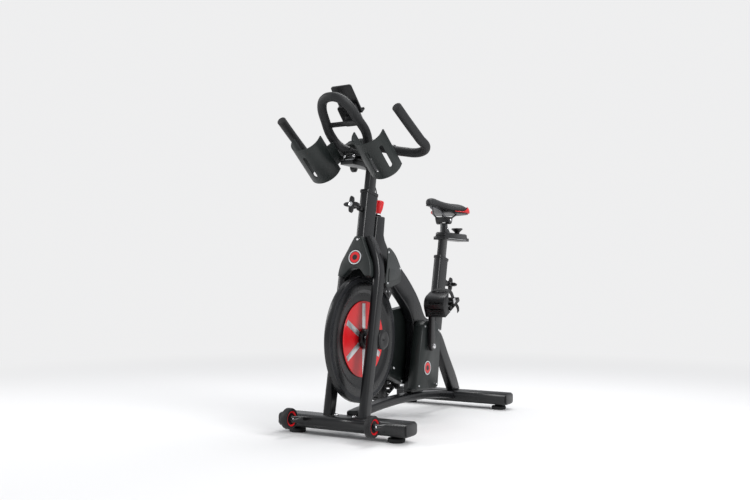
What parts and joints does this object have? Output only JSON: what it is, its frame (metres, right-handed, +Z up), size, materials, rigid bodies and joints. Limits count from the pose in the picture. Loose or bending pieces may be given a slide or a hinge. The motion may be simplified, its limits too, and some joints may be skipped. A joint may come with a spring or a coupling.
{
  "type": "exercise bike",
  "caption": "Indoor cycling bike with a front flywheel, belt drive, toe-cage pedals, sliding saddle and a looped handlebar with dumbbell cradles.",
  "frame": {"origin": "floor level, at the centre of the footprint's bounding box", "axes": "+Z up, -Y forwards (the flywheel's end), +X the rider's left"},
  "size_m": [0.5424, 1.132, 1.2352],
  "materials": {
    "frame_paint": "satin powder coat",
    "shroud_plastic": "fine moulded grain",
    "black_plastic": "semi-matte moulding",
    "grip_rubber": "matte dipped rubber",
    "red_plastic": "smooth",
    "bright_steel": "zinc plated or ground",
    "crank_paint": "semi-gloss paint",
    "flywheel_iron": "machined and painted",
    "saddle_cover": "synthetic cover over foam"
  },
  "bodies": {
    "frame": {"front_stabilizer": "frame_paint", "rear_stabilizer": "frame_paint", "head_tube": "frame_paint", "seat_tube": "frame_paint", "fork_leg_left": "frame_paint", "fork_leg_right": "frame_paint", "main_beam": "frame_paint", "rear_leg": "frame_paint", "base_beam": "frame_paint", "fork_shroud": "shroud_plastic", "side_panel_left": "shroud_plastic", "side_panel_right": "shroud_plastic", "belt_cover_outer": "shroud_plastic", "belt_cover_inner": "shroud_plastic", "left_cover": "shroud_plastic", "head_tube_collar": "black_plastic", "seat_tube_collar": "black_plastic", "drive_belt": "grip_rubber", "console_lead": "grip_rubber", "flywheel_axle": "bright_steel"},
    "flywheel": {"flywheel": "flywheel_iron", "flywheel_disc": "red_plastic", "flywheel_hub_cap": "black_plastic", "flywheel_pulley": "bright_steel"},
    "crank": {"crank_spindle": "bright_steel", "crank_pulley": "black_plastic", "crank_arm_left": "crank_paint", "crank_arm_right": "crank_paint"},
    "pedal_left": {"pedal_left": "black_plastic", "toe_cage_left": "black_plastic"},
    "pedal_right": {"pedal_right": "black_plastic", "toe_cage_right": "black_plastic"},
    "wheel_left": {"transport_wheel_left": "grip_rubber"},
    "wheel_right": {"transport_wheel_right": "grip_rubber"},
    "foot_front_left": {"leveling_foot_front_left": "black_plastic"},
    "foot_front_right": {"leveling_foot_front_right": "black_plastic"},
    "foot_rear_left": {"leveling_foot_rear_left": "black_plastic"},
    "foot_rear_right": {"leveling_foot_rear_right": "black_plastic"},
    "bar_post": {"handlebar_post": "frame_paint"},
    "bars": {"handlebar_slide": "frame_paint", "handlebar": "grip_rubber", "center_loop": "grip_rubber", "dumbbell_cradle_left": "shroud_plastic", "dumbbell_cradle_right": "shroud_plastic", "console": "black_plastic", "tablet_rest": "black_plastic"},
    "button_left": {"console_button_left": "red_plastic"},
    "button_right": {"console_button_right": "red_plastic"},
    "bar_height_knob": {"handlebar_height_knob": "black_plastic"},
    "bar_reach_knob": {"handlebar_reach_knob": "black_plastic"},
    "saddle_post": {"seat_post": "frame_paint"},
    "saddle_carriage": {"seat_carriage": "frame_paint"},
    "saddle_height_knob": {"seat_height_knob": "black_plastic"},
    "saddle_reach_knob": {"seat_reach_knob": "black_plastic"},
    "saddle_top": {"saddle_clamp": "black_plastic", "saddle_rails": "bright_steel", "saddle": "saddle_cover"},
    "brake_plunger": {"brake_rod": "bright_steel"},
    "brake_dial": {"resistance_knob": "red_plastic"},
    "magnets": {"magnet_carrier": "bright_steel"}
  },
  "joints": [
    {"name": "flywheel_turn", "type": "hinge", "parent": "frame", "child": "flywheel", "pos_m": [0, -0.317, 0.335], "axis": [1, 0, 0], "continuous": true},
    {"name": "crank_turn", "type": "hinge", "parent": "frame", "child": "crank", "pos_m": [0, 0.086, 0.286], "axis": [1, 0, 0], "continuous": true},
    {"name": "pedal_left_turn", "type": "hinge", "parent": "crank", "child": "pedal_left", "pos_m": [0.138, 0.086, 0.456], "axis": [1, 0, 0], "continuous": true},
    {"name": "pedal_right_turn", "type": "hinge", "parent": "crank", "child": "pedal_right", "pos_m": [-0.138, 0.086, 0.116], "axis": [1, 0, 0], "continuous": true},
    {"name": "wheel_left_turn", "type": "hinge", "parent": "frame", "child": "wheel_left", "pos_m": [0.1692, -0.529, 0.0624], "axis": [1, 0, 0], "continuous": true},
    {"name": "wheel_right_turn", "type": "hinge", "parent": "frame", "child": "wheel_right", "pos_m": [-0.1692, -0.529, 0.0624], "axis": [1, 0, 0], "continuous": true},
    {"name": "foot_front_left_turn", "type": "hinge", "parent": "frame", "child": "foot_front_left", "pos_m": [0.2056, -0.4275, 0.01], "axis": [0, 0, 1], "range_deg": [-180, 180]},
    {"name": "foot_front_right_turn", "type": "hinge", "parent": "frame", "child": "foot_front_right", "pos_m": [-0.2056, -0.4275, 0.01], "axis": [0, 0, 1], "range_deg": [-180, 180]},
    {"name": "foot_rear_left_turn", "type": "hinge", "parent": "frame", "child": "foot_rear_left", "pos_m": [0.2146, 0.451, 0.01], "axis": [0, 0, 1], "range_deg": [-180, 180]},
    {"name": "foot_rear_right_turn", "type": "hinge", "parent": "frame", "child": "foot_rear_right", "pos_m": [-0.2146, 0.451, 0.01], "axis": [0, 0, 1], "range_deg": [-180, 180]},
    {"name": "handlebar_height", "type": "slide", "parent": "frame", "child": "bar_post", "axis": [0, 0.1857, 0.9826], "range_m": [-0.07, 0.1], "deforming": ["console_lead"]},
    {"name": "handlebar_reach", "type": "slide", "parent": "bar_post", "child": "bars", "axis": [0, 1, 0], "range_m": [-0.018, 0.04]},
    {"name": "handlebar_height_knob_turn", "type": "hinge", "parent": "frame", "child": "bar_height_knob", "pos_m": [0, -0.38931, 0.81994], "axis": [0, -0.9826, 0.1857], "range_deg": [0, 360]},
    {"name": "handlebar_reach_knob_turn", "type": "hinge", "parent": "bar_post", "child": "bar_reach_knob", "pos_m": [-0.05, -0.289, 0.968], "axis": [-1, 0, 0], "range_deg": [0, 360]},
    {"name": "console_button_left_press", "type": "slide", "parent": "bars", "child": "button_left", "axis": [0, -0.7071, -0.7071], "range_m": [0, 0.001], "stiffness_N_per_m": 400, "springref_m": -0.001},
    {"name": "console_button_right_press", "type": "slide", "parent": "bars", "child": "button_right", "axis": [0, -0.7071, -0.7071], "range_m": [0, 0.001], "stiffness_N_per_m": 400, "springref_m": -0.001},
    {"name": "seat_height", "type": "slide", "parent": "frame", "child": "saddle_post", "axis": [0, 0.2164, 0.9763], "range_m": [-0.058, 0.12]},
    {"name": "seat_reach", "type": "slide", "parent": "saddle_post", "child": "saddle_carriage", "axis": [0, 1, 0], "range_m": [-0.03, 0.03]},
    {"name": "seat_height_knob_turn", "type": "hinge", "parent": "frame", "child": "saddle_height_knob", "pos_m": [0, 0.42516, 0.53175], "axis": [0, 0.9763, -0.2164], "range_deg": [0, 360]},
    {"name": "seat_reach_knob_turn", "type": "hinge", "parent": "saddle_carriage", "child": "saddle_reach_knob", "pos_m": [0, 0.497, 0.758], "axis": [0, 0, 1], "range_deg": [0, 360]},
    {"name": "saddle_tilt", "type": "hinge", "parent": "saddle_carriage", "child": "saddle_top", "pos_m": [0, 0.363, 0.812], "axis": [1, 0, 0], "range_deg": [-12, 12]},
    {"name": "brake_push", "type": "slide", "parent": "frame", "child": "brake_plunger", "axis": [0, -0.1857, -0.9826], "range_m": [0, 0.008], "stiffness_N_per_m": 1500, "springref_m": -0.004},
    {"name": "resistance_turn", "type": "hinge", "parent": "brake_plunger", "child": "brake_dial", "pos_m": [0, -0.19667, 0.81119], "axis": [0, 0.1857, 0.9826], "range_deg": [0, 270]},
    {"name": "magnet_swing", "type": "hinge", "parent": "frame", "child": "magnets", "pos_m": [0, -0.18985, 0.53001], "axis": [1, 0, 0], "range_deg": [-6, 0]}
  ],
  "couplings": [
    {"joint": "crank_turn", "follows": "flywheel_turn", "ratio": 0.26316},
    {"joint": "magnet_swing", "follows": "resistance_turn", "ratio": -0.022222}
  ]
}
